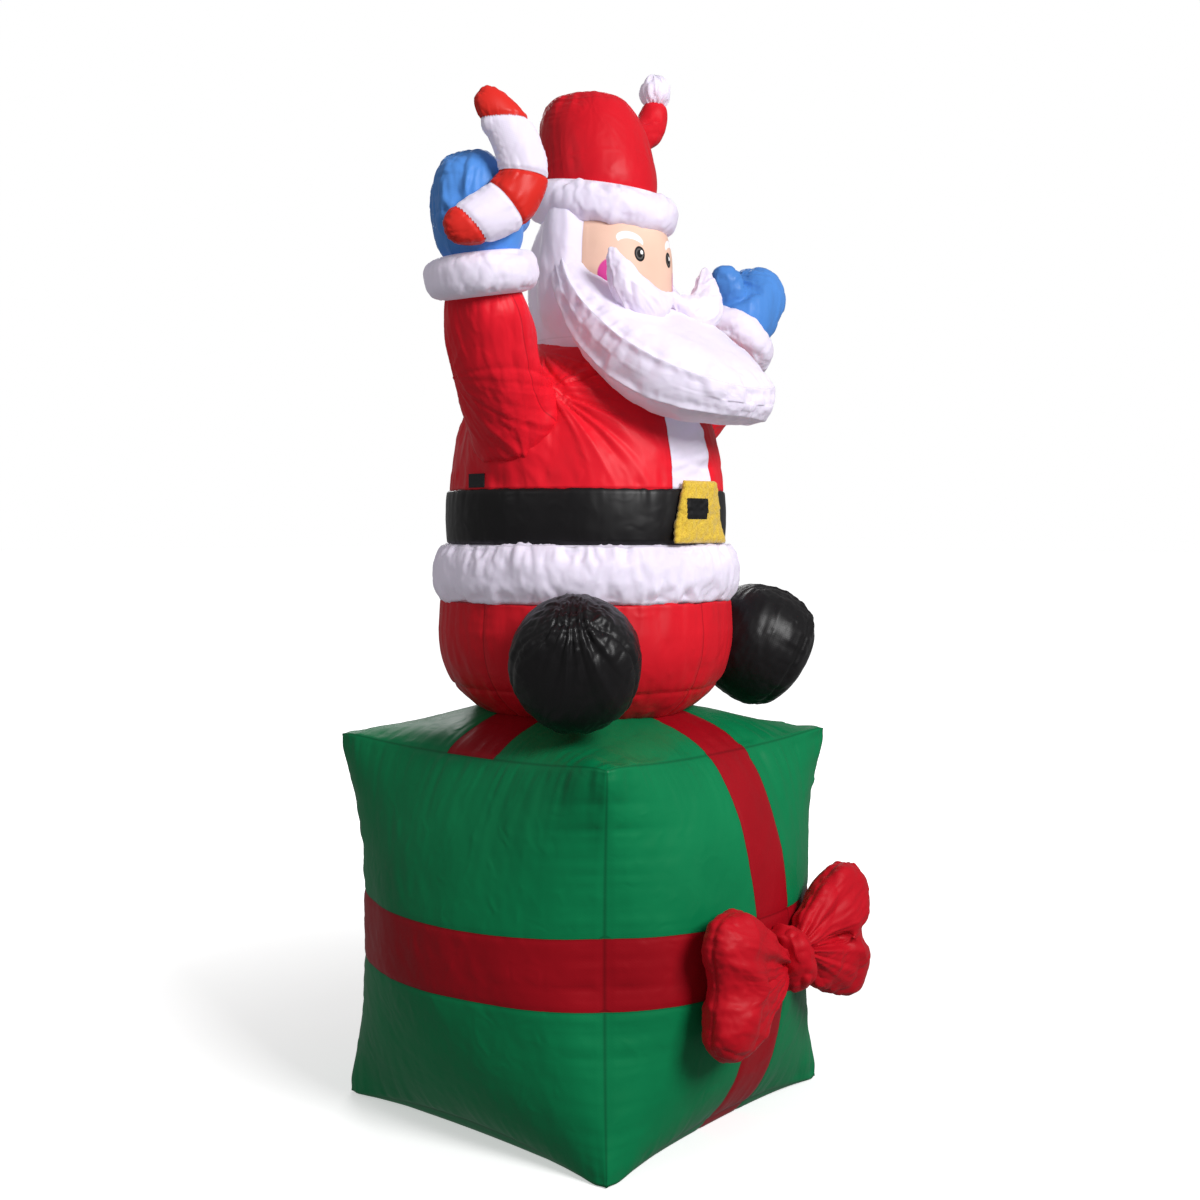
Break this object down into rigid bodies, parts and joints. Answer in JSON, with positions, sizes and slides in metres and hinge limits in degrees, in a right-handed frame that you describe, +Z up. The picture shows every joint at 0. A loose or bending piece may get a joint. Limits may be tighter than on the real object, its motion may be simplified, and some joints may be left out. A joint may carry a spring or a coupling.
{
  "type": "inflatable santa",
  "caption": "Inflatable santa with raised arms and a striped candy cane, sitting on an inflatable gift box with a bow",
  "frame": {"origin": "centre of the gift box's flat underside, on the ground", "axes": "+Z up, the figure faces -Y, its right hand is at -X"},
  "size_m": [0.94, 0.8656, 1.8415],
  "materials": {
    "box_green": "coated nylon, soft sheen, green with red ribbon panels",
    "bow_red": "coated nylon, soft sheen, deep red",
    "coat_red": "coated nylon, soft sheen, bright red",
    "trim_white": "thin coated nylon, cool white, slightly see-through",
    "boot_black": "coated nylon, black",
    "webbing_black": "woven webbing, black",
    "buckle_yellow": "short plush, yellow with a black window",
    "mitten_blue": "coated nylon, blue",
    "cane_red": "coated nylon, orange red and white stripes"
  },
  "bodies": {
    "root": {"gift_box": "box_green", "bow_knot": "bow_red", "bow_loop_right": "bow_red", "bow_loop_left": "bow_red", "seat": "coat_red", "hem": "trim_white", "belt": "boot_black", "coat": "coat_red", "buckle": "buckle_yellow", "tether_patch": "webbing_black", "boot_right": "boot_black", "boot_left": "boot_black", "head": "trim_white", "beard": "trim_white", "moustache_right": "trim_white", "moustache_left": "trim_white", "hat_brim": "trim_white", "hat": "coat_red", "hat_tail": "coat_red", "pompom": "trim_white", "cuff_right": "trim_white", "cuff_left": "trim_white", "sleeve_right": "coat_red", "sleeve_left": "coat_red", "mitten_right": "mitten_blue", "mitten_left": "mitten_blue", "candy_cane": "cane_red"}
  },
  "joints": []
}
